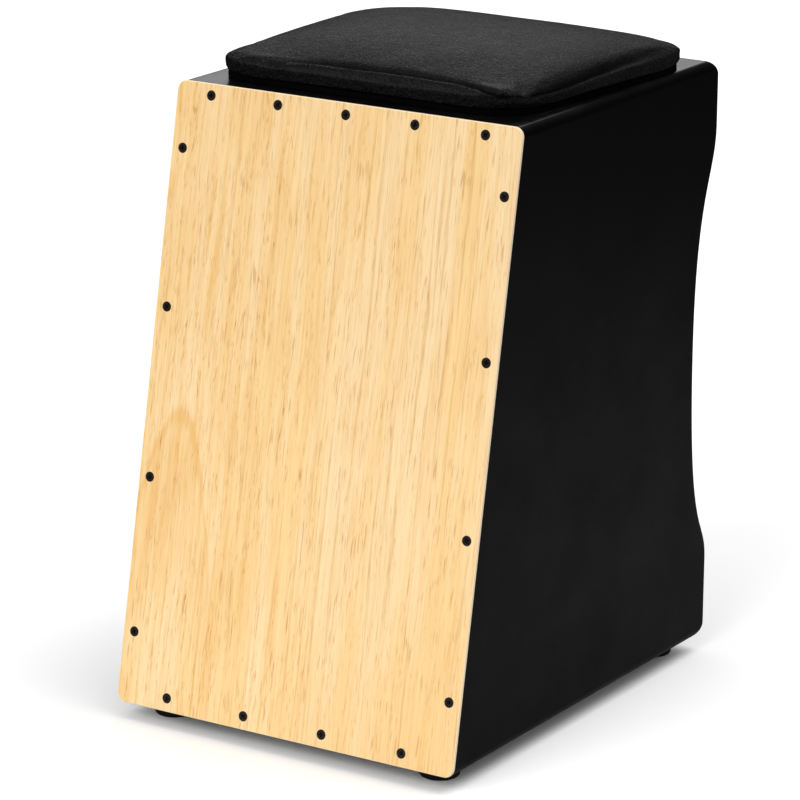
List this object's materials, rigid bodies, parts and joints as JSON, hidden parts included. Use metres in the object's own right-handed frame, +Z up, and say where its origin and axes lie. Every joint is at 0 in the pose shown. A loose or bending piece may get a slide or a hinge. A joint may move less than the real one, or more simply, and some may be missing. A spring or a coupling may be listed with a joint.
{
  "type": "electroacoustic cajon",
  "caption": "Slant-fronted wooden box drum with a waisted back, seat cushion, inner snares, sound hole, piezo pickup, output jack and volume knob.",
  "frame": {"origin": "on the floor under the middle of the box, between the rubber feet", "axes": "+Z up; the slanted playing face looks along -Y and the waisted back along +Y; +X to the right of someone who looks at the playing face"},
  "size_m": [0.315, 0.3999, 0.5365],
  "materials": {
    "black_paint": "satin black paint on plywood",
    "tapa_wood": "clear satin lacquer over pale veneer",
    "raw_wood": "bare planed wood",
    "black_screw": "blackened steel",
    "steel": "bright plated steel",
    "brass": "plain brass disc",
    "leatherette": "pebbled black leatherette",
    "rubber": "matt black rubber",
    "black_plastic": "fine matt black"
  },
  "bodies": {
    "drum": {"side_panel_left": "black_paint", "side_panel_right": "black_paint", "top_panel": "black_paint", "bottom_panel": "black_paint", "back_panel": "black_paint", "tapa": "tapa_wood", "corner_strip_top_left": "raw_wood", "corner_strip_top_right": "raw_wood", "corner_strip_bottom_left": "raw_wood", "corner_strip_bottom_right": "raw_wood", "snare_rail": "raw_wood", "snare_left": "steel", "snare_right": "steel", "snare_screw_left": "steel", "snare_screw_right": "steel", "pickup_disc": "brass", "pickup_lead": "black_plastic", "lead_clip": "black_plastic", "jack_plate": "black_plastic", "output_jack": "black_plastic", "jack_nut": "steel", "volume_pot": "steel", "pot_nut": "steel", "plate_screw_1": "black_screw", "plate_screw_2": "black_screw", "plate_screw_3": "black_screw", "plate_screw_4": "black_screw", "cushion": "leatherette", "cushion_base": "black_plastic", "cushion_screw_1": "black_screw", "cushion_screw_2": "black_screw", "cushion_screw_3": "black_screw", "cushion_screw_4": "black_screw", "foot_front_left": "rubber", "foot_front_right": "rubber", "foot_rear_left": "rubber", "foot_rear_right": "rubber", "foot_screw_front_left": "black_screw", "foot_screw_front_right": "black_screw", "foot_screw_rear_left": "black_screw", "foot_screw_rear_right": "black_screw", "tapa_screw_top_1": "black_screw", "tapa_screw_top_2": "black_screw", "tapa_screw_top_3": "black_screw", "tapa_screw_top_4": "black_screw", "tapa_screw_top_5": "black_screw", "tapa_screw_bottom_1": "black_screw", "tapa_screw_bottom_2": "black_screw", "tapa_screw_bottom_3": "black_screw", "tapa_screw_bottom_4": "black_screw", "tapa_screw_left_1": "black_screw", "tapa_screw_left_2": "black_screw", "tapa_screw_left_3": "black_screw", "tapa_screw_left_4": "black_screw", "tapa_screw_right_1": "black_screw", "tapa_screw_right_2": "black_screw", "tapa_screw_right_3": "black_screw", "tapa_screw_right_4": "black_screw"},
    "volume_control": {"volume_knob": "black_plastic", "pot_shaft": "steel"}
  },
  "joints": [
    {"name": "volume_turn", "type": "hinge", "parent": "drum", "child": "volume_control", "pos_m": [0.098, 0.168, 0.2865], "axis": [0, 1, 0], "range_deg": [-150, 150]}
  ]
}
